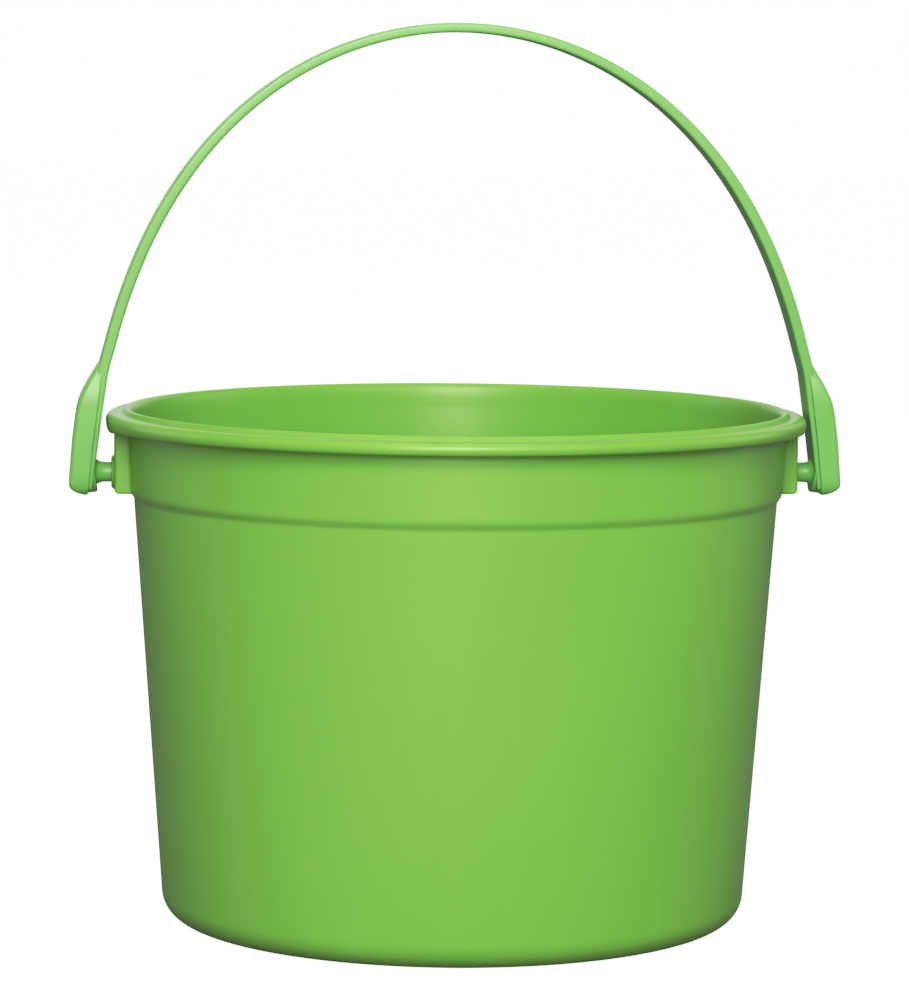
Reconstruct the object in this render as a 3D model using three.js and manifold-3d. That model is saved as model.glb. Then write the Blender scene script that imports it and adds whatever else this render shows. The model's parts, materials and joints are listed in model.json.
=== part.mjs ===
// Sand bucket: a round tapered tub with a hooked rim and two box-shaped ears,
// and a bail handle that snaps into the ears and swings over the tub.
// Millimetres, +Z up, the tub's axis on Z, its foot ring on z = 0, the ears on +X and -X.
import * as THREE from 'three';
import { mergeVertices } from 'three/addons/utils/BufferGeometryUtils.js';
import Module from 'manifold-3d';

const wasm = await Module();
wasm.setup();

// ---- driving dimensions, mm ----
const WALL_T = 1.4;            // wall thickness
const WALL_R0 = 68.68;         // outer radius the wall's line has at z = 0
const WALL_DRAFT = 0.0722;     // outer radius gained per mm of height
const BASE_CORNER_R = 6.5;     // rounding between foot ring and wall
const FOOT_RING_R = 58.6;      // inner edge of the flat foot ring
const FOOT_RECESS = 1.2;       // how far the middle of the base stands clear
const FLOOR_T = 1.5;
const STEP_Z0 = 99.7;          // step: where it leaves the wall
const STEP_Z1 = 102.9;         // and where the collar starts
const COLLAR_R0 = 77.1;        // collar's outer radius above the step
const COLLAR_R1 = 77.5;        // and under the rim
const RIM_R = 82.5;            // rim's greatest radius
const RIM_TOP = 121.0;
const LIP_Z = 116.9;           // lower edge of the rim's outer lip, midway between the ears
const LIP_Z_EAR = 115.1;       // and over the ears, where the lip is deeper
const LIP_ROOT_Z = 118.4;      // height above which the lip keeps one shape all round
const TUB_SEGMENTS = 72;

const PIVOT_Z = 105.8;         // height of the handle's pivot line
const EAR_X = 80.5;            // outer face of the ear
const EAR_HALF_W = 8.0;
const EAR_WEB_T = 1.6;
const EAR_PLATE_T = 1.5;
const EAR_BOTTOM = 101.3;
const EAR_ROOF = 114.6;        // top of the pocket in the ear
const POCKET_X = 77.6;         // pocket's wall on the tub side
const BORE_R = 2.6;
const BOSS_R = 3.9;
const BOSS_H = 0.7;

const NECK_R = 2.3;            // peg
const HEAD_R = 3.3;            // snap head
const HEAD_X0 = 77.9;
const HEAD_X1 = 78.7;
const STRAP_W = 10.4;
const STRAP_T_TOP = 2.2;       // strap thickness at the top of the arch
const STRAP_T_LIMB = 2.7;      // halfway down the limbs
const STRAP_T_END = 2.45;      // and beside the paddles
const ARCH_Z = 130.0;          // centre the arch is drawn about
const ARCH = [80.30, -3.6209, 1.9137];   // radius of the strap's mid line: a + b p^2 + c p^4
const PAD_W = 12.4;
const PAD_END_Z = 100.7;

// ---- helpers ----
function solid(geometry) {
  const g = geometry.clone();
  g.deleteAttribute('normal');
  g.deleteAttribute('uv');
  const m = mergeVertices(g, 1e-4);
  const pos = Float32Array.from(m.attributes.position.array);
  const idx = [];
  for (let i = 0; i < m.index.count; i += 3) {
    const a = m.index.getX(i), b = m.index.getX(i + 1), c = m.index.getX(i + 2);
    if (a !== b && b !== c && a !== c) idx.push(a, b, c);
  }
  let volume = 0;
  for (let i = 0; i < idx.length; i += 3) {
    const [a, b, c] = [idx[i] * 3, idx[i + 1] * 3, idx[i + 2] * 3];
    volume += pos[a] * (pos[b + 1] * pos[c + 2] - pos[b + 2] * pos[c + 1])
      - pos[a + 1] * (pos[b] * pos[c + 2] - pos[b + 2] * pos[c])
      + pos[a + 2] * (pos[b] * pos[c + 1] - pos[b + 1] * pos[c]);
  }
  if (volume < 0) for (let i = 0; i < idx.length; i += 3) [idx[i + 1], idx[i + 2]] = [idx[i + 2], idx[i + 1]];
  return new wasm.Manifold(new wasm.Mesh({ numProp: 3, vertProperties: pos, triVerts: Uint32Array.from(idx) }));
}

function piece(name, body, colour, roughness) {
  const out = body.getMesh();
  const g = new THREE.BufferGeometry();
  g.setAttribute('position', new THREE.BufferAttribute(Float32Array.from(out.vertProperties), 3));
  g.setIndex(new THREE.BufferAttribute(Uint32Array.from(out.triVerts), 1));
  g.computeVertexNormals();
  const mesh = new THREE.Mesh(g, new THREE.MeshStandardMaterial({ color: colour, roughness, metalness: 0.0 }));
  mesh.name = name;
  return mesh;
}

// a lathed profile of [radius, height] points, turned about Z
function lathe(points, segments) {
  const g = new THREE.LatheGeometry(points.map(p => new THREE.Vector2(p[0], p[1])), segments);
  g.rotateX(Math.PI / 2);
  return g;
}

// an outline of [x, z] points, carried along Y and centred on y = 0, with its edges bevelled
function slab(points, width, bevel, bevelSegments) {
  const shape = new THREE.Shape(points.map(p => new THREE.Vector2(p[0], p[1])));
  const g = new THREE.ExtrudeGeometry(shape, {
    depth: width - 2 * bevel, steps: 1, curveSegments: 8,
    bevelEnabled: bevel > 0, bevelThickness: bevel, bevelSize: bevel, bevelOffset: -bevel, bevelSegments,
  });
  g.translate(0, 0, bevel - width / 2);
  g.rotateX(Math.PI / 2);
  return g;
}

const wallR = z => WALL_R0 + WALL_DRAFT * z;
const mirrored = g => g.clone().rotateZ(Math.PI);

// ---- tub ----
function tubProfile() {
  const p = [];
  // underside: gate mark, raised middle, foot ring
  p.push([0, FOOT_RECESS - 0.4], [1.5, FOOT_RECESS - 0.4], [1.9, FOOT_RECESS]);
  p.push([FOOT_RING_R - 2.4, FOOT_RECESS], [FOOT_RING_R - 0.8, 0.35], [FOOT_RING_R, 0]);
  // rounded bottom corner
  const n = Math.hypot(1, WALL_DRAFT);
  const cr = wallR(BASE_CORNER_R) - BASE_CORNER_R * n;
  const end = Math.PI / 2 - Math.atan(WALL_DRAFT);
  for (let i = 0; i <= 5; i++) {
    const a = end * i / 5;
    p.push([cr + BASE_CORNER_R * Math.sin(a), BASE_CORNER_R - BASE_CORNER_R * Math.cos(a)]);
  }
  // wall, soft step, collar
  p.push([wallR(50), 50]);
  p.push([wallR(STEP_Z0), STEP_Z0]);
  p.push([76.02, 100.3], [76.5, 101.0], [76.9, 101.7], [COLLAR_R0, STEP_Z1]);
  // under the rim: the hollow of the hook
  p.push([COLLAR_R1, 116.4], [77.75, 117.6], [78.4, 118.45], [79.3, 118.75], [80.2, 118.45], [80.75, 117.8]);
  // outer lip, narrow ledge and crest
  p.push([80.95, LIP_Z + 0.3], [81.4, LIP_Z], [82.0, LIP_Z + 0.25], [82.38, LIP_Z + 0.75], [RIM_R, 118.2]);
  p.push([82.33, 119.0], [81.65, 119.65], [80.6, 119.98], [79.5, 119.85], [78.75, 119.95], [78.3, 120.6], [77.7, RIM_TOP]);
  p.push([77.05, 120.75], [76.5, 119.8], [76.25, 118.0], [76.2, 115.8]);
  // inside: collar, step, wall
  p.push([COLLAR_R0 - WALL_T, STEP_Z1 - 0.1], [75.25, 101.2], [74.75, 100.3]);
  p.push([wallR(STEP_Z0) - WALL_T, STEP_Z0 - 0.2]);
  p.push([wallR(50) - WALL_T, 50]);
  // rounded inner corner, shallow moat, raised floor
  const ir = 5.1, iz = FLOOR_T + ir, icr = wallR(iz) - WALL_T - ir * n;
  for (let i = 0; i <= 4; i++) {
    const a = end * (4 - i) / 4;
    p.push([icr + ir * Math.sin(a), iz - ir * Math.cos(a)]);
  }
  p.push([FOOT_RING_R - 0.4, FLOOR_T], [FOOT_RING_R - 2.6, FOOT_RECESS + FLOOR_T], [0, FOOT_RECESS + FLOOR_T]);
  return p;
}

// the rim's lip hangs a little deeper towards the ears
function deepenLip(g) {
  const pos = g.attributes.position;
  for (let i = 0; i < pos.count; i++) {
    const x = pos.getX(i), y = pos.getY(i), z = pos.getZ(i);
    if (Math.hypot(x, y) < 80.5 || z < LIP_Z - 0.01 || z > LIP_ROOT_Z) continue;
    const a = THREE.MathUtils.radToDeg(Math.atan2(Math.abs(y), Math.abs(x)));
    const drop = (LIP_Z - LIP_Z_EAR) * (0.55 * Math.exp(-((a / 9) ** 2)) + 0.45 * Math.exp(-((a / 32) ** 2)));
    pos.setZ(i, z - drop * (LIP_ROOT_Z - z) / (LIP_ROOT_Z - LIP_Z));
  }
  return g;
}

function ear() {
  const block = slab([
    [76.7, EAR_BOTTOM], [EAR_X - 1.0, EAR_BOTTOM], [EAR_X - 0.3, EAR_BOTTOM + 0.3], [EAR_X, EAR_BOTTOM + 1.0],
    [EAR_X, 118.9], [76.7, 118.9],
  ], 2 * EAR_HALF_W, 0.5, 1);
  const boss = new THREE.CylinderGeometry(BOSS_R - 0.5, BOSS_R, BOSS_H + 0.3, 32);
  boss.rotateZ(-Math.PI / 2).translate(EAR_X + (BOSS_H - 0.3) / 2, 0, PIVOT_Z);
  const pocket = new THREE.BoxGeometry(EAR_X - EAR_PLATE_T - POCKET_X, 2 * (EAR_HALF_W - EAR_WEB_T), EAR_ROOF - 95);
  pocket.translate((EAR_X - EAR_PLATE_T + POCKET_X) / 2, 0, (EAR_ROOF + 95) / 2);
  const bore = new THREE.CylinderGeometry(BORE_R, BORE_R, 5, 32);
  bore.rotateZ(-Math.PI / 2).translate(EAR_X, 0, PIVOT_Z);
  return { add: [block, boss], cut: [pocket, bore] };
}

function tub() {
  let body = solid(deepenLip(lathe(tubProfile(), TUB_SEGMENTS)));
  const e = ear();
  for (const g of e.add) body = body.add(solid(g)).add(solid(mirrored(g)));
  for (const g of e.cut) body = body.subtract(solid(g)).subtract(solid(mirrored(g)));
  return body;
}

// ---- bail handle ----
// the right half of the strap's mid line, from the top of the arch to the paddle's end
function midline() {
  const pts = [];
  for (let i = 0; i <= 24; i++) {
    const a = THREE.MathUtils.degToRad(86 * i / 24);
    const r = ARCH[0] + ARCH[1] * a * a + ARCH[2] * a ** 4;
    pts.push([r * Math.sin(a), ARCH_Z + r * Math.cos(a)]);
  }
  pts.push([83.15, 130.2], [83.75, 126.4], [84.95, 117.6], [86.45, PIVOT_Z], [87.05, PAD_END_Z + 0.55]);
  return pts;
}

function strapOutline() {
  const m = midline(), outer = [], inner = [];
  for (let i = 0; i < m.length; i++) {
    const a = m[Math.max(i - 1, 0)], b = m[Math.min(i + 1, m.length - 1)];
    let dx = b[0] - a[0], dz = b[1] - a[1];
    if (i === 0) dz = 0;
    const l = Math.hypot(dx, dz), nx = -dz / l, nz = dx / l;
    const t = i < 17 ? STRAP_T_TOP + (STRAP_T_LIMB - STRAP_T_TOP) * i / 17 : STRAP_T_LIMB + (STRAP_T_END - STRAP_T_LIMB) * Math.min(1, (i - 17) / 7);
    outer.push([m[i][0] + nx * t / 2, m[i][1] + nz * t / 2]);
    inner.push([m[i][0] - nx * t / 2, m[i][1] - nz * t / 2]);
  }
  const left = list => list.slice(1).map(p => [-p[0], p[1]]).reverse();
  return [...left(outer), ...outer, ...inner.slice().reverse(), ...left(inner).reverse()];
}

function handle() {
  let body = solid(slab(strapOutline(), STRAP_W, 0.4, 2));
  // the strap's ends are rounded off inside the paddles' outline
  const ends = new THREE.Shape();
  ends.moveTo(-20, 230);
  ends.lineTo(-5.75, 107);
  ends.lineTo(-5.75, 105.4);
  ends.quadraticCurveTo(-5.7, 101.0, -1.6, 101.0);
  ends.lineTo(1.6, 101.0);
  ends.quadraticCurveTo(5.7, 101.0, 5.75, 105.4);
  ends.lineTo(5.75, 107);
  ends.lineTo(20, 230);
  const keep = new THREE.ExtrudeGeometry(ends, { depth: 200, steps: 1, curveSegments: 7, bevelEnabled: false });
  keep.applyMatrix4(new THREE.Matrix4().set(0, 0, 1, -100, 1, 0, 0, 0, 0, 1, 0, 0, 0, 0, 0, 1));
  body = body.intersect(solid(keep));
  // thick outer half of the paddle, with a sloping shoulder at its top
  const pad = slab([
    [83.8, 131.4], [84.9, 130.6], [86.1, 128.5], [87.4, 126.2], [88.5, 123.9], [89.3, 121.2], [90.45, 113.0], [91.0, 106.0],
    [91.2, 103.2], [90.5, 102.2], [88.6, 101.0], [87.2, PAD_END_Z], [86.6, 101.1], [86.45, 103.0], [85.6, 112.0], [83.9, 125.0], [83.4, 128.0],
  ], PAD_W, 0.7, 2);
  // its outline seen from the side: rounded at the bottom, narrowing to the strap at the top
  const face = new THREE.Shape();
  const hw = PAD_W / 2 + 0.01, sw = STRAP_W / 2;
  face.moveTo(-sw, 132.5);
  face.lineTo(-sw, 127.6);
  face.quadraticCurveTo(-hw, 125.6, -hw, 121.5);
  face.lineTo(-hw, 105.0);
  face.quadraticCurveTo(-hw, 100.2, -1.6, 100.2);
  face.lineTo(1.6, 100.2);
  face.quadraticCurveTo(hw, 100.2, hw, 105.0);
  face.lineTo(hw, 121.5);
  face.quadraticCurveTo(hw, 125.6, sw, 127.6);
  face.lineTo(sw, 132.5);
  const prism = new THREE.ExtrudeGeometry(face, { depth: 14, steps: 1, curveSegments: 7, bevelEnabled: false });
  // shape x -> y, shape y -> z, depth -> x
  prism.applyMatrix4(new THREE.Matrix4().set(0, 0, 1, 80, 1, 0, 0, 0, 0, 1, 0, 0, 0, 0, 0, 1));
  // round boss round the peg's root, on the inner half of the paddle
  const lean = Math.atan((86.45 - 84.95) / 11.8);
  const boss = new THREE.CylinderGeometry(4.5, 4.8, 2.3, 40);
  boss.rotateZ(Math.PI / 2).rotateY(lean).translate(86.55, 0, PIVOT_Z);
  // peg: root fillet, neck and snap head
  const peg = new THREE.LatheGeometry([
    [0, 86.3], [3.6, 86.3], [3.35, 85.2], [2.75, 84.55], [2.42, 83.7], [NECK_R, 82.6],
    [NECK_R, HEAD_X1], [HEAD_R, HEAD_X1], [HEAD_R, HEAD_X1 - 0.3], [HEAD_R - 0.9, HEAD_X0], [0, HEAD_X0],
  ].map(p => new THREE.Vector2(p[0], p[1])), 32);
  peg.rotateZ(-Math.PI / 2).translate(0, 0, PIVOT_Z);
  const padSolid = solid(pad).intersect(solid(prism));
  const padLeft = solid(mirrored(pad)).intersect(solid(mirrored(prism)));
  body = body.add(padSolid).add(padLeft);
  for (const g of [boss, peg]) body = body.add(solid(g)).add(solid(mirrored(g)));
  return body;
}

const bucket = new THREE.Group();
bucket.name = 'sand_bucket';
bucket.add(piece('bucket_tub', tub(), 0x7cc04f, 0.38));
bucket.add(piece('bail_handle', handle(), 0x80c460, 0.36));

export default bucket;
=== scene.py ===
# Sand bucket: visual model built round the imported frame.
import json
import math

import bpy
import numpy as np
from mathutils import Matrix, Vector


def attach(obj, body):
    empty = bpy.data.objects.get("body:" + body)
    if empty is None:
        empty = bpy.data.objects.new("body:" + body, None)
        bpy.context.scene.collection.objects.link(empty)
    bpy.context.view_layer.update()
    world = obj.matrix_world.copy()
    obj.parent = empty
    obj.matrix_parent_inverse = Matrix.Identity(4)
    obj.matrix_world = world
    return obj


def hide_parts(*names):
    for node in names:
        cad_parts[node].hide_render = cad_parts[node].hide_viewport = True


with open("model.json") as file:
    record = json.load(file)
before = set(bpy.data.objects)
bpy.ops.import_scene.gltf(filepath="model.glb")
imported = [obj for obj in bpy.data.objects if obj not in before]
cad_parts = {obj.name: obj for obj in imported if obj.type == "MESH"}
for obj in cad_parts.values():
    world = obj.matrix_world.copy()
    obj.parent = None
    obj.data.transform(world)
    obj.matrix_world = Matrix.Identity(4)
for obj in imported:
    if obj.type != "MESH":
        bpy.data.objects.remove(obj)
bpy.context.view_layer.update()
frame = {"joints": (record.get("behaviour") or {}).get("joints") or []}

MM = 0.001

# ------------------------------------------------------------------ dimensions, mm
PIVOT_Z = frame["joints"][0]["pos_m"][2] / MM
WALL_R0, DRAFT, WALL_T = 68.68, 0.0722, 1.4
EAR_X, EAR_HW = 80.5, 8.0
RIM_R, RIM_TOP = 82.5, 121.0


def wall_r(z):
    return WALL_R0 + DRAFT * z


# ------------------------------------------------------------------ small mesh tools
def line(p, q, n):
    """n points from p towards q, q left out."""
    p, q = np.array(p, float), np.array(q, float)
    return [tuple(p + (q - p) * i / n) for i in range(n)]


def arc(cx, cz, r, a0, a1, n, last=False):
    """Points on an arc, angles in degrees."""
    out = []
    for i in range(n + (1 if last else 0)):
        a = math.radians(a0 + (a1 - a0) * i / n)
        out.append((cx + r * math.cos(a), cz + r * math.sin(a)))
    return out


def spline(pts, sub):
    """A centripetal Catmull-Rom curve through pts, the last point left out."""
    p = [np.array(v, float) for v in pts]
    p = [2 * p[0] - p[1]] + p + [2 * p[-1] - p[-2]]
    out = []
    for i in range(1, len(p) - 2):
        p0, p1, p2, p3 = p[i - 1], p[i], p[i + 1], p[i + 2]
        t = [0.0]
        for a, b in ((p0, p1), (p1, p2), (p2, p3)):
            t.append(t[-1] + max(1e-6, np.linalg.norm(b - a)) ** 0.5)
        for k in range(sub):
            u = t[1] + (t[2] - t[1]) * k / sub
            a1 = (t[1] - u) / (t[1] - t[0]) * p0 + (u - t[0]) / (t[1] - t[0]) * p1
            a2 = (t[2] - u) / (t[2] - t[1]) * p1 + (u - t[1]) / (t[2] - t[1]) * p2
            a3 = (t[3] - u) / (t[3] - t[2]) * p2 + (u - t[2]) / (t[3] - t[2]) * p3
            b1 = (t[2] - u) / (t[2] - t[0]) * a1 + (u - t[0]) / (t[2] - t[0]) * a2
            b2 = (t[3] - u) / (t[3] - t[1]) * a2 + (u - t[1]) / (t[3] - t[1]) * a3
            out.append(tuple((t[2] - u) / (t[2] - t[1]) * b1 + (u - t[1]) / (t[2] - t[1]) * b2))
    return out


def make(name, verts, faces):
    """A mesh object from millimetre points, its faces turned to face out."""
    v = np.array(verts, float)
    volume = 0.0
    for f in faces:
        for k in range(1, len(f) - 1):
            volume += np.dot(v[f[0]], np.cross(v[f[k]], v[f[k + 1]]))
    if volume < 0:
        faces = [tuple(reversed(f)) for f in faces]
    me = bpy.data.meshes.new(name)
    me.from_pydata((v * MM).tolist(), [], faces)
    me.update()
    ob = bpy.data.objects.new(name, me)
    bpy.context.scene.collection.objects.link(ob)
    return ob


def lathe(name, profile, segments, place=None, shape=None):
    """A closed body turned about Z from (r, z) points that start and end on the axis; shape may move a point's height."""
    verts, rings = [], []
    for r, z in profile:
        if r < 1e-6:
            rings.append([len(verts)] * segments)
            verts.append((0, 0, z))
        else:
            base = len(verts)
            rings.append(list(range(base, base + segments)))
            for k in range(segments):
                a = 2 * math.pi * k / segments
                verts.append((r * math.cos(a), r * math.sin(a), shape(r, z, a) if shape else z))
    faces = []
    for a, b in zip(rings, rings[1:]):
        for k in range(segments):
            m = (k + 1) % segments
            f = [a[k], a[m], b[m], b[k]]
            f = [x for i, x in enumerate(f) if x != f[i - 1]]
            if len(f) > 2:
                faces.append(tuple(f))
    if place is not None:
        verts = [tuple(place @ Vector(v)) for v in verts]
    return make(name, verts, faces)


def loft(name, sections):
    """A closed body through sections of the same number of points, with a flat cap at each end."""
    k, n = len(sections), len(sections[0])
    verts = [tuple(p) for s in sections for p in s]
    faces = []
    for i in range(k - 1):
        for j in range(n):
            m = (j + 1) % n
            faces.append((i * n + j, i * n + m, (i + 1) * n + m, (i + 1) * n + j))
    for i, turn in ((0, True), (k - 1, False)):
        centre = len(verts)
        verts.append(tuple(np.mean(np.array(sections[i]), axis=0)))
        for j in range(n):
            m = (j + 1) % n
            faces.append((i * n + m, i * n + j, centre) if turn else (i * n + j, i * n + m, centre))
    return make(name, verts, faces)


def combine(body, other, how):
    """Boolean body with other, and take other away."""
    m = body.modifiers.new("b", "BOOLEAN")
    m.operation, m.object, m.solver = how, other, "EXACT"
    dg = bpy.context.evaluated_depsgraph_get()
    me = bpy.data.meshes.new_from_object(body.evaluated_get(dg))
    body.modifiers.clear()
    old = body.data
    body.data = me
    bpy.data.meshes.remove(old)
    bpy.data.objects.remove(other)
    return body


def turned(ob, name):
    """A copy of ob, half a turn about Z."""
    c = ob.copy()
    c.data = ob.data.copy()
    c.name = name
    c.data.transform(Matrix.Rotation(math.pi, 4, "Z"))
    bpy.context.scene.collection.objects.link(c)
    return c


def finish_surface(ob, degrees):
    me = ob.data
    for p in me.polygons:
        p.use_smooth = True
    me.set_sharp_from_angle(angle=math.radians(degrees))
    w = ob.modifiers.new("weights", "WEIGHTED_NORMAL")
    w.keep_sharp = True
    w.weight = 60
    return ob


TO_X = Matrix(((0, 0, 1, 0), (0, 1, 0, 0), (-1, 0, 0, PIVOT_Z), (0, 0, 0, 1)))   # Z axis onto +X at the pivot height

# ------------------------------------------------------------------ tub
SEG = 288


def tub_profile():
    n = math.hypot(1, DRAFT)
    tilt = math.degrees(math.atan(DRAFT))
    p = []
    # underside: gate mark in a shallow dimple, two low turning rings, rise to the foot ring
    p += line((0, 0.75), (0.9, 0.75), 2)
    p += spline([(0.9, 0.75), (1.25, 0.85), (1.45, 1.25), (1.7, 1.6), (2.3, 1.7), (4.2, 1.62), (5.2, 1.22), (6.2, 1.2)], 4)
    p += line((6.2, 1.2), (29.0, 1.2), 5)
    p += spline([(29.0, 1.2), (29.5, 1.12), (30.0, 0.95), (30.8, 0.95), (31.3, 1.12), (31.8, 1.2)], 3)
    p += line((31.8, 1.2), (55.2, 1.2), 6)
    p += spline([(55.2, 1.2), (56.2, 1.16), (57.0, 0.8), (57.8, 0.25), (58.7, 0.0)], 5)
    # foot ring and rounded bottom corner
    rc = 6.5
    cr = wall_r(rc) - rc * n
    p += line((58.7, 0.0), (cr, 0.0), 3)
    p += arc(cr, rc, rc, -90, -tilt, 20)
    z0 = rc - rc * math.sin(math.radians(tilt))
    p += line((wall_r(z0), z0), (wall_r(98.9), 98.9), 56)
    # soft step and collar
    p += spline([(wall_r(98.9), 98.9), (75.86, 99.55), (75.95, 99.95), (76.2, 100.4), (76.52, 100.85), (76.82, 101.35), (77.0, 101.85), (77.09, 102.5), (77.13, 103.4), (77.16, 104.8)], 6)
    p += line((77.16, 104.8), (77.5, 114.9), 8)
    # hollow of the hook, bead, ledge, crest
    p += spline([(77.5, 114.9), (77.5, 116.1), (77.66, 117.2), (78.1, 118.15), (78.7, 118.62), (79.35, 118.75), (80.05, 118.52), (80.58, 118.0),
                 (80.86, 117.5), (81.04, 117.1), (81.4, 116.93), (81.78, 117.02), (82.12, 117.27), (82.38, 117.7), (82.5, 118.25),
                 (82.42, 118.82), (82.1, 119.36), (81.5, 119.78), (80.65, 119.98), (79.8, 119.93), (79.15, 119.82), (78.72, 119.93),
                 (78.42, 120.35), (78.12, 120.78), (77.7, 121.0), (77.2, 120.88), (76.75, 120.4), (76.45, 119.6), (76.28, 118.4),
                 (76.2, 116.8), (76.16, 115.0)], 4)
    # inside: collar, step, wall
    p += line((76.16, 115.0), (75.74, 104.9), 8)
    p += spline([(75.74, 104.9), (75.7, 103.2), (75.6, 102.2), (75.3, 101.3), (74.85, 100.5), (74.58, 99.6), (wall_r(98.4) - WALL_T, 98.4), (wall_r(97.0) - WALL_T, 97.0)], 6)
    ri, zi = 5.1, 1.5 + 5.1
    ci = wall_r(zi) - WALL_T - ri * n
    z1 = zi - ri * math.sin(math.radians(tilt))
    p += line((wall_r(97.0) - WALL_T, 97.0), (wall_r(z1) - WALL_T, z1), 56)
    p += arc(ci, zi, ri, -tilt, -90, 14)
    p += line((ci, 1.5), (58.8, 1.5), 2)
    p += spline([(58.8, 1.5), (58.0, 1.62), (57.3, 2.05), (56.6, 2.5), (55.6, 2.7)], 4)
    p += line((55.6, 2.7), (6.0, 2.7), 10)
    p += line((6.0, 2.7), (0.0, 2.7), 2)
    p.append((0.0, 2.7))
    return p


def lip(r, z, a):
    """The rim's lip hangs a little deeper towards the ears."""
    if r < 80.5 or z < 116.8 or z > 118.4:
        return z
    g = math.degrees(math.atan2(abs(math.sin(a)), abs(math.cos(a))))
    drop = 1.8 * (0.55 * math.exp(-(g / 9) ** 2) + 0.45 * math.exp(-(g / 32) ** 2))
    return z - drop * (118.4 - z) / 1.5


def collar_r(z):
    return float(np.interp(z, [98.9, 99.95, 100.4, 100.85, 101.35, 101.85, 102.5, 103.4, 104.8, 114.9, 120], [75.82, 75.95, 76.2, 76.52, 76.82, 77.0, 77.09, 77.13, 77.16, 77.5, 77.5]))


def ear_section(z):
    drop = max(0.0, 102.3 - z)
    dx = 1 - math.sqrt(max(0.0, 1 - drop ** 2)) if drop > 0 else 0.0
    low = max(0.0, 101.75 - z) / 0.45
    ins = 0.45 * (1 - math.sqrt(max(0.0, 1 - low ** 2)))
    dx = min(0.95, dx)
    r, hw, xo, rf, rc = collar_r(z), EAR_HW - ins, EAR_X - max(dx, ins), 0.8, 0.75
    yc = hw + rf
    xc = math.sqrt((r + rf) ** 2 - yc ** 2)
    a0 = math.degrees(math.atan2(-yc, -xc)) % 360
    half = arc(xc, yc, rf + 0.012, a0, 270, 8, last=True)
    half += arc(xo - rc, hw - rc, rc, 90, 0, 6, last=True)
    top = half                                            # from the wall, round, to the outer face, y > 0
    start = math.atan2(top[0][1], top[0][0])
    out = [(xo, y) for y in np.linspace(hw - rc, -(hw - rc), 9)[1:-1]]
    low_side = [(x, -y) for x, y in reversed(top)]
    inside = [((r - 0.7) * math.cos(a), (r - 0.7) * math.sin(a)) for a in np.linspace(-start, start, 9)]
    return [(x, y, z) for x, y in top + out + low_side + inside]


def ear(name):
    zs = [101.3, 101.31, 101.34, 101.39, 101.46, 101.55, 101.67, 101.8, 102.0, 102.3, 102.65, 103.0] + list(np.linspace(103.5, 118.9, 24))
    body = loft(name, [ear_section(z) for z in zs])
    # raised ring round the bore
    ring = [(0, 80.0), (4.25, 80.0), (4.25, 80.45)] + spline([(4.25, 80.45), (4.0, 80.62), (3.85, 80.9), (3.66, 81.1), (3.4, 81.2), (3.0, 81.2)], 4) + [(3.0, 81.2), (0, 81.2)]
    return combine(body, lathe(name + "_ring", ring, 64, TO_X), "UNION")


def ear_cut(name):
    def sec(z):
        grow = 0.28 * max(0.0, 1 - (z - 100.9) / 0.75) if z < 101.65 else 0.0
        top = max(0.0, z - 114.1) / 0.5
        grow -= 0.45 * (1 - math.sqrt(max(0.0, 1 - min(1.0, top) ** 2)))
        x0, x1, hw, rc = 77.6, 79.0 + grow, 6.4 + grow, 0.45
        s = arc(x1 - rc, hw - rc, rc, 90, 0, 5, last=True) + arc(x1 - rc, -hw + rc, rc, 0, -90, 5, last=True)
        s += arc(x0 + rc, -hw + rc, rc, -90, -180, 5, last=True) + arc(x0 + rc, hw - rc, rc, 180, 90, 5, last=True)
        return [(x, y, z) for x, y in s]
    zs = [95, 100.9, 101.1, 101.3, 101.45, 101.65, 104, 107, 110, 113, 114.1, 114.3, 114.45, 114.55, 114.6]
    return loft(name, [sec(z) for z in zs])


def bore_cut(name):
    prof = [(0, 77.9), (2.95, 77.9), (2.95, 78.85), (2.6, 79.15), (2.6, 80.95), (2.68, 81.08), (2.85, 81.21), (2.85, 82.5), (0, 82.5)]
    return lathe(name, prof, 64, TO_X)


tub = lathe("bucket_body", tub_profile(), SEG, shape=lip)
e = ear("ear")
combine(tub, turned(e, "ear2"), "UNION")
combine(tub, e, "UNION")
for cutter in (ear_cut, bore_cut):
    c = cutter("cut")
    combine(tub, turned(c, "cut2"), "DIFFERENCE")
    combine(tub, c, "DIFFERENCE")
finish_surface(tub, 32)

# ------------------------------------------------------------------ handle
ARCH_Z, ARCH = 130.0, (80.30, -3.6209, 1.9137)
LOW = np.array([((1 - t) ** 2 * 6.2 + 2 * t * (1 - t) * 6.2 + t * t * 1.6, 100.3 + 4.7 * (1 - t) ** 2) for t in np.linspace(1, 0, 60)])   # paddle's rounded end: half width, height


def midline():
    pts = []
    for i in range(0, 44):
        a = math.radians(2.0 * i)
        r = ARCH[0] + ARCH[1] * a * a + ARCH[2] * a ** 4
        pts.append((r * math.sin(a), ARCH_Z + r * math.cos(a)))
    pts += [(83.15, 130.2), (83.75, 126.4), (84.95, 117.6), (86.45, PIVOT_Z), (87.02, 101.3)]
    half = spline(pts, 4) + [pts[-1]]
    left = [(-x, z) for x, z in reversed(half[1:])]
    return left + half


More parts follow.
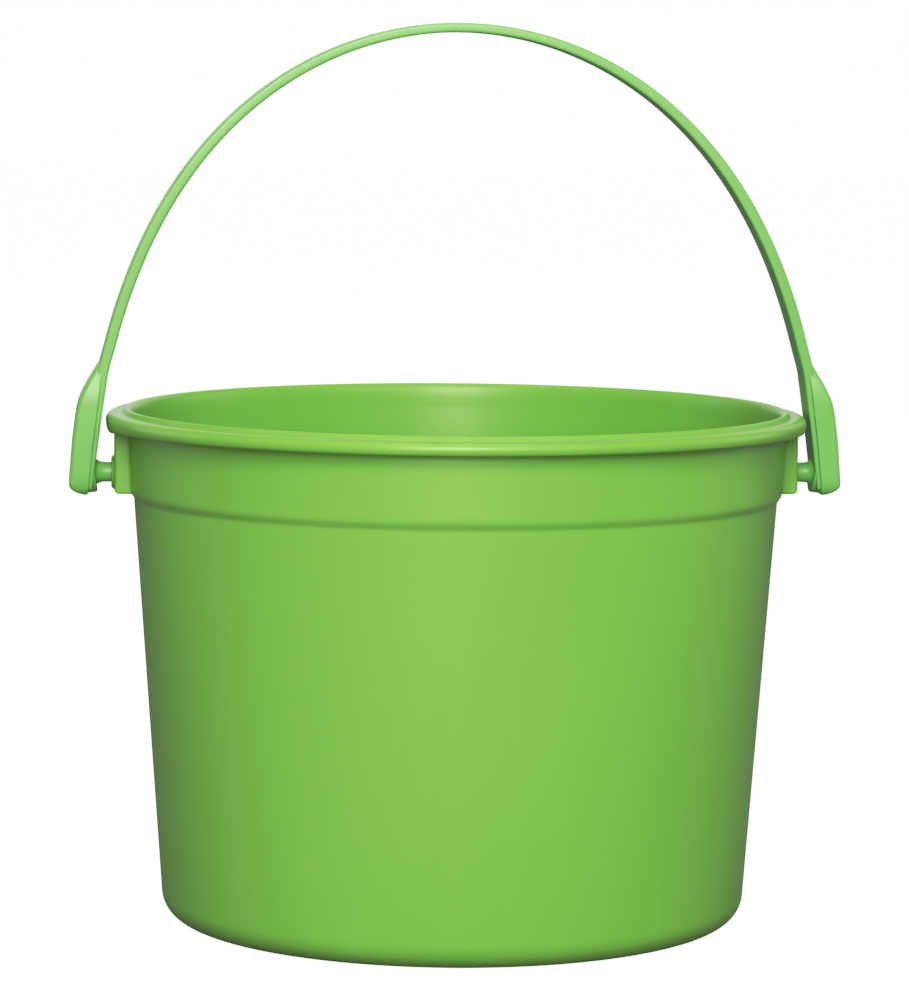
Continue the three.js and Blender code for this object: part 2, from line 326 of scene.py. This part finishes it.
def strap():
    m = np.array(midline())
    n = len(m)
    d = np.zeros_like(m)
    d[1:-1] = m[2:] - m[:-2]
    d[0], d[-1] = m[1] - m[0], m[-1] - m[-2]
    d /= np.linalg.norm(d, axis=1)[:, None]
    nrm = np.stack([-d[:, 1], d[:, 0]], 1)          # outward
    run = np.concatenate([[0], np.cumsum(np.linalg.norm(np.diff(m, axis=0), axis=1))])
    total = run[-1]
    sections = []
    for i in range(n):
        s = abs(run[i] - total / 2) / (total / 2)
        end = (1 - s) * total / 2                    # mm from the nearer end
        t = float(np.interp(s, [0, 0.55, 0.78, 0.9, 1.0], [2.16, 2.66, 2.62, 2.42, 2.42]))
        w = 10.4
        if m[i][1] < 107:
            w = min(w, 2 * float(np.interp(m[i][1] - 0.35, LOW[:, 1], LOW[:, 0])) - 1.1)
        close = 1.0
        if end < 1.0:
            close = math.sqrt(max(0.0, 1 - (1 - end / 1.0) ** 2)) * 0.25 + 0.75
        hw, ht, rc = w / 2 - (1 - close) * 1.6, t / 2 - (1 - close) * 1.6, 0.52
        s2 = []
        # outer face, left to right, a trace of a parting line along its middle
        for q in (-0.72, -0.5, -0.28, -0.046, -0.016, 0.016, 0.046, 0.28, 0.5, 0.72):
            y = q * hw
            s2.append((y, ht - 0.02 - 0.06 * q * q + (0.02 if abs(q) < 0.03 else -0.05 if abs(q) < 0.05 else 0.0)))
        s2 += arc(hw - rc, ht - 0.07 - rc, rc, 90, 0, 5, last=True)
        s2 += [(hw, 0.25), (hw, -0.25)]
        s2 += arc(hw - rc, -ht + rc, rc, 0, -90, 5, last=True)
        for q in (0.72, 0.5, 0.25, 0.0, -0.25, -0.5, -0.72):
            s2.append((q * hw, -ht))
        s2 += arc(-hw + rc, -ht + rc, rc, -90, -180, 5, last=True)
        s2 += [(-hw, -0.25), (-hw, 0.25)]
        s2 += arc(-hw + rc, ht - 0.07 - rc, rc, 180, 90, 5, last=True)
        sections.append([(m[i][0] + nrm[i][0] * b, y, m[i][1] + nrm[i][1] * b) for y, b in s2])
    return loft("bail", sections)


def pad(name):
    out_z = [100.7, 100.78, 101.0, 101.5, 102.2, 102.7, 103.2, 104.2, 106.0, 113.0, 119.0, 121.2, 122.6, 123.9, 125.0, 126.2, 127.4, 128.5, 129.6, 130.6, 131.3]
    out_x = [87.3, 87.9, 88.75, 89.85, 90.68, 91.02, 91.15, 91.13, 90.97, 90.42, 89.66, 89.26, 88.92, 88.45, 87.95, 87.35, 86.7, 86.05, 85.4, 84.8, 84.4]
    in_z = [100.7, 101.0, 101.6, 103.0, 112.0, 125.0, 128.6, 131.3]
    in_x = [87.0, 86.75, 86.6, 86.5, 85.6, 83.95, 83.5, 83.2]
    zb = np.linspace(0, 1, 60)
    # side outline: quadratic ends, as half width against height
    low = np.array([((1 - t) ** 2 * 6.2 + 2 * t * (1 - t) * 6.2 + t * t * 1.6, (1 - t) ** 2 * 105.0 + 2 * t * (1 - t) * 100.3 + t * t * 100.3) for t in zb])[::-1]
    top = np.array([((1 - t) ** 2 * 6.2 + 2 * t * (1 - t) * 6.2 + t * t * 5.1, (1 - t) ** 2 * 121.5 + 2 * t * (1 - t) * 126.0 + t * t * 129.2) for t in zb])
    wz = np.concatenate([low[:, 1], top[:, 1], [131.3]])
    wy = np.concatenate([low[:, 0], top[:, 0], [4.7]])
    zs = list(100.7 + 2.6 * (1 - np.cos(np.linspace(0, math.pi / 2, 22)))) + list(np.linspace(103.5, 121.0, 26)) + list(np.linspace(121.3, 131.3, 46))
    sections = []
    for z in zs:
        ins = 0.0
        if z < 101.4:
            ins = 0.5 * (1 - math.sqrt(max(0.0, 1 - ((101.4 - z) / 0.7) ** 2)))
        xo, xi = float(np.interp(z, out_z, out_x)) - ins * 0.2, float(np.interp(z, in_z, in_x))
        hy = float(np.interp(z, wz, wy)) - ins
        t = max(0.2, xo - xi)
        ro = min(0.95, t * 0.45, hy * 0.5)
        ri = min(0.3, t * 0.3)
        s = arc(xo - ro, hy - ro, ro, 90, 0, 8, last=True)
        s += [(xo, y) for y in np.linspace(hy - ro, -hy + ro, 9)[1:-1]]
        s += arc(xo - ro, -hy + ro, ro, 0, -90, 8, last=True)
        s += arc(xi + ri, -hy + ri, ri, -90, -180, 4, last=True)
        s += [(xi, y) for y in np.linspace(-hy + ri, hy - ri, 7)[1:-1]]
        s += arc(xi + ri, hy - ri, ri, 180, 90, 4, last=True)
        sections.append([(x, y, z) for x, y in s])
    return loft(name, sections)


def peg(name):
    prof = [(0, 86.6), (3.9, 86.6)] + spline([(3.9, 86.6), (3.75, 85.6), (3.35, 84.98), (2.85, 84.55), (2.5, 83.9), (2.34, 83.1), (2.3, 82.2)], 5)
    prof += line((2.3, 82.2), (2.3, 78.78), 6) + spline([(2.3, 78.78), (2.45, 78.7), (3.15, 78.7), (3.3, 78.62), (3.3, 78.45), (3.1, 78.2), (2.6, 77.96), (2.2, 77.9)], 3)
    prof += [(2.2, 77.9), (0.7, 77.9), (0.55, 78.1), (0, 78.1)]
    return lathe(name, prof, 64, TO_X)


def root_boss(name):
    lean = math.atan((86.45 - 84.95) / 11.8)
    prof = [(0, 1.2), (4.85, 1.2), (4.85, -0.9)] + spline([(4.85, -0.9), (4.78, -1.2), (4.55, -1.38), (4.2, -1.42)], 4) + [(4.2, -1.42), (0, -1.42)]
    place = Matrix.Translation((86.45, 0, PIVOT_Z)) @ Matrix.Rotation(math.pi / 2 + lean, 4, "Y")
    return lathe(name, prof, 72, place)


bail = strap()
for maker in (pad, root_boss, peg):
    c = maker("part")
    combine(bail, turned(c, "part2"), "UNION")
    combine(bail, c, "UNION")
finish_surface(bail, 32)

for ob, body, node, slot in ((tub, "tub", "bucket_tub", "bucket_plastic"), (bail, "bail", "bail_handle", "handle_plastic")):
    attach(ob, body)
    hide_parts(node)


# ------------------------------------------------------------------ materials
def plastic(name, colour, deep, pale, seed, up, peel):
    """Injection-moulded polypropylene: soft satin gloss, faint flow and drag marks, fine scuffs, paler worn edges,
    painted shade in the concave creases.
    """
    mat = bpy.data.materials.new(name)
    mat.use_nodes = True
    nt = mat.node_tree
    N, L = nt.nodes, nt.links
    bsdf = next(n for n in N if n.type == "BSDF_PRINCIPLED")
    co = N.new("ShaderNodeTexCoord")

    def mapped(scale, offset=0.0):
        m = N.new("ShaderNodeMapping")
        m.inputs["Scale"].default_value = scale
        m.inputs["Location"].default_value = (offset, offset * 0.7, offset * 1.3)
        L.new(co.outputs["Object"], m.inputs["Vector"])
        return m.outputs["Vector"]

    def noise(scale3, detail=3.0, rough=0.5, offset=0.0, distortion=0.0):
        n = N.new("ShaderNodeTexNoise")
        n.inputs["Scale"].default_value = 1.0
        n.inputs["Detail"].default_value = detail
        n.inputs["Roughness"].default_value = rough
        n.inputs["Distortion"].default_value = distortion
        L.new(mapped(scale3, offset + seed), n.inputs["Vector"])
        return n.outputs["Fac"]

    def ramp(value, a, b, lo=0.0, hi=1.0):
        r = N.new("ShaderNodeMapRange")
        r.interpolation_type = "SMOOTHSTEP"
        r.inputs["From Min"].default_value = a
        r.inputs["From Max"].default_value = b
        r.inputs["To Min"].default_value = lo
        r.inputs["To Max"].default_value = hi
        L.new(value, r.inputs["Value"])
        return r.outputs["Result"]

    def math_node(op, a, b):
        m = N.new("ShaderNodeMath")
        m.operation = op
        for sock, v in zip(m.inputs, (a, b)):
            if isinstance(v, (int, float)):
                sock.default_value = v
            else:
                L.new(v, sock)
        return m.outputs[0]

    def mix(fac, a, b):
        m = N.new("ShaderNodeMix")
        m.data_type = "RGBA"
        L.new(fac, m.inputs["Factor"])
        for sock, v in ((m.inputs[6], a), (m.inputs[7], b)):
            if isinstance(v, tuple):
                sock.default_value = (*v, 1)
            else:
                L.new(v, sock)
        return m.outputs[2]

    flow = noise((14, 14, 9), 2.0, 0.5, 3.1, 0.6)                 # slow drift of pigment
    streak = noise((170, 170, 5) if up == "Z" else (60, 260, 60), 3.0, 0.55, 9.4)   # flow lines away from the gate
    fine = noise((900, 900, 900), 2.0, 0.6, 1.7)
    scuff_a = noise((420, 420, 46), 4.0, 0.62, 21.0, 0.5)         # long fine rubs
    scuff_b = noise((70, 70, 640), 4.0, 0.6, 33.0, 0.8)
    patch = noise((26, 26, 26), 3.0, 0.5, 47.0)
    geo = N.new("ShaderNodeNewGeometry")
    edge = ramp(geo.outputs["Pointiness"], 0.515, 0.60)
    # painted shade: concave creases and inner corners are darkened towards the deep colour
    crease_shade = ramp(geo.outputs["Pointiness"], 0.485, 0.42)
    scuff = math_node("MULTIPLY", math_node("MAXIMUM", ramp(scuff_a, 0.64, 0.76), ramp(scuff_b, 0.67, 0.78)), ramp(patch, 0.50, 0.66))

    base = mix(ramp(flow, 0.30, 0.72), colour, deep)
    base = mix(math_node("MULTIPLY", ramp(streak, 0.45, 0.75), 0.05), base, pale)
    base = mix(math_node("MULTIPLY", edge, 0.30), base, pale)
    # painted shade mixed into the base colour in the concave creases
    base = mix(math_node("MULTIPLY", crease_shade, 0.35), base, deep)
    base = mix(math_node("MULTIPLY", scuff, 0.22), base, pale)
    L.new(base, bsdf.inputs["Base Color"])

    rough = math_node("ADD", ramp(flow, 0.25, 0.75, 0.30, 0.37), ramp(fine, 0.2, 0.8, -0.015, 0.015))
    rough = math_node("ADD", rough, math_node("MULTIPLY", scuff, 0.18))
    rough = math_node("ADD", rough, math_node("MULTIPLY", edge, 0.05))
    L.new(rough, bsdf.inputs["Roughness"])

    def bump(height, strength, distance, normal=None):
        b = N.new("ShaderNodeBump")
        b.inputs["Strength"].default_value = strength
        b.inputs["Distance"].default_value = distance
        L.new(height, b.inputs["Height"])
        if normal is not None:
            L.new(normal, b.inputs["Normal"])
        return b.outputs["Normal"]

    nrm = bump(noise((38, 38, 22), 2.0, 0.4, 5.0), 0.30, 0.0006)           # slow waviness of a thin moulded wall
    nrm = bump(noise((620, 620, 620), 2.0, 0.5, 61.0), peel, 0.00005, nrm)   # orange peel
    nrm = bump(streak, 0.45 * peel, 0.0001, nrm)
    nrm = bump(scuff, 0.25, 0.00003, nrm)
    L.new(nrm, bsdf.inputs["Normal"])

    bsdf.inputs["IOR"].default_value = 1.49
    bsdf.inputs["Subsurface Weight"].default_value = 0.12
    bsdf.inputs["Subsurface Radius"].default_value = (0.7, 1.0, 0.45)
    bsdf.inputs["Subsurface Scale"].default_value = 0.0022
    return mat


def srgb(r, g, b):
    return tuple(((c / 255 + 0.055) / 1.055) ** 2.4 if c > 10 else c / 255 / 12.92 for c in (r, g, b))


tub_mat = plastic("green_polypropylene_tub", (0.262, 0.532, 0.098), (0.242, 0.503, 0.086), (0.370, 0.650, 0.200), 0.0, "Z", 0.20)
bail_mat = plastic("green_polypropylene_handle", (0.240, 0.525, 0.150), (0.224, 0.498, 0.136), (0.360, 0.650, 0.270), 7.3, "Y", 0.07)
for ob, mat in ((tub, tub_mat), (bail, bail_mat)):
    ob.data.materials.clear()
    ob.data.materials.append(mat)

# ------------------------------------------------------------------ floor
bpy.ops.mesh.primitive_plane_add(size=14.0, location=(0, 0, 0))
floor = bpy.context.object
floor.name = "floor"
fm = bpy.data.materials.new("floor_paper")
fm.use_nodes = True
fn, fl = fm.node_tree.nodes, fm.node_tree.links
fb = next(n for n in fn if n.type == "BSDF_PRINCIPLED")
fb.inputs["Roughness"].default_value = 0.8
fb.inputs["Specular IOR Level"].default_value = 0.1
seen = fn.new("ShaderNodeLightPath")                     # the paper is white to look at, and throws little light back up
pick = fn.new("ShaderNodeMix")
pick.data_type = "RGBA"
fl.new(seen.outputs["Is Camera Ray"], pick.inputs["Factor"])
pick.inputs[6].default_value = (0.30, 0.30, 0.30, 1)
pick.inputs[7].default_value = (0.10, 0.10, 0.10, 1)
fl.new(pick.outputs[2], fb.inputs["Base Color"])
glow = fn.new("ShaderNodeMath")
glow.operation = "MULTIPLY"
fl.new(seen.outputs["Is Camera Ray"], glow.inputs[0])
glow.inputs[1].default_value = 0.975
fb.inputs["Emission Color"].default_value = (1, 1, 1, 1)
fl.new(glow.outputs[0], fb.inputs["Emission Strength"])
floor.data.materials.append(fm)

# ------------------------------------------------------------------ camera
cam = bpy.data.objects.new("camera", bpy.data.cameras.new("camera"))
bpy.context.scene.collection.objects.link(cam)
bpy.context.scene.camera = cam
YAW, PITCH, ROLL = math.radians(5.0), 0.1016, 0.0090
turn = Matrix.Rotation(-YAW, 4, "Z")
cam.matrix_world = turn @ Matrix.Translation((-0.00024, -1.0209, 0.2032)) @ Matrix.Rotation(math.pi / 2 - PITCH, 4, "X") @ Matrix.Rotation(ROLL, 4, "Z")
cam.data.sensor_width = 36.0
cam.data.lens = 4335 * 36 / 1000
cam.data.clip_start, cam.data.clip_end = 0.05, 40

# ------------------------------------------------------------------ light
def area(name, at, look, size, size_y, power, colour=(1, 1, 1)):
    d = bpy.data.lights.new(name, "AREA")
    d.shape, d.size, d.size_y, d.energy, d.color = "RECTANGLE", size, size_y, power, colour
    o = bpy.data.objects.new(name, d)
    bpy.context.scene.collection.objects.link(o)
    at = turn @ Vector(at)
    look = turn @ Vector(look)
    o.matrix_world = Matrix.Translation(at) @ (at - look).to_track_quat("Z", "Y").to_matrix().to_4x4()
    return o


area("key_low", (0.0, -1.40, 0.42), (0, 0, 0.08), 0.60, 0.45, 9.6)
area("key_high", (0.0, -1.22, 0.95), (0, 0, 0.08), 0.60, 0.45, 9.2)
area("key_right", (0.75, -1.12, 0.70), (0, 0, 0.08), 0.60, 0.45, 2.8)
area("top", (0.0, -0.05, 1.40), (0, 0, 0.08), 0.90, 0.90, 4.4)
cards = [area("back_card", (0.0, 1.25, 0.55), (0, 0, 0.08), 1.60, 0.90, 4.4),
         area("left_card", (-1.25, 0.45, 0.35), (0, 0, 0.08), 0.80, 0.80, 2.2),
         area("right_card", (1.25, 0.45, 0.35), (0, 0, 0.08), 0.80, 0.80, 2.2)]
for c in cards:
    c.visible_camera = False

world = bpy.data.worlds.new("studio")
bpy.context.scene.world = world
world.use_nodes = True
wn, wl = world.node_tree.nodes, world.node_tree.links
bg = next(n for n in wn if n.type == "BACKGROUND")
bg.inputs["Color"].default_value = (1, 1, 1, 1)
path = wn.new("ShaderNodeLightPath")
dim = wn.new("ShaderNodeMapRange")                       # white to look at, dim as a light
dim.inputs["To Min"].default_value = 0.16
dim.inputs["To Max"].default_value = 1.0
wl.new(path.outputs["Is Camera Ray"], dim.inputs["Value"])
wl.new(dim.outputs["Result"], bg.inputs["Strength"])

scene = bpy.context.scene
scene.view_settings.view_transform = "Standard"
scene.view_settings.look = "None"
scene.view_settings.exposure = 0.0
scene.view_settings.gamma = 1.0
scene.view_settings.use_curve_mapping = True             # a gentle S, as a camera's own tone curve has
tone = scene.view_settings.curve_mapping
tone.use_clip = False
tone.extend = "EXTRAPOLATED"
c = tone.curves[3]
c.points[0].location, c.points[1].location = (0.0, 0.0), (1.0, 1.0)
for at in ((0.08, 0.058), (0.175, 0.130), (0.29, 0.250), (0.36, 0.345), (0.47, 0.475), (0.60, 0.590), (0.80, 0.780)):
    c.points.new(*at)
tone.update()
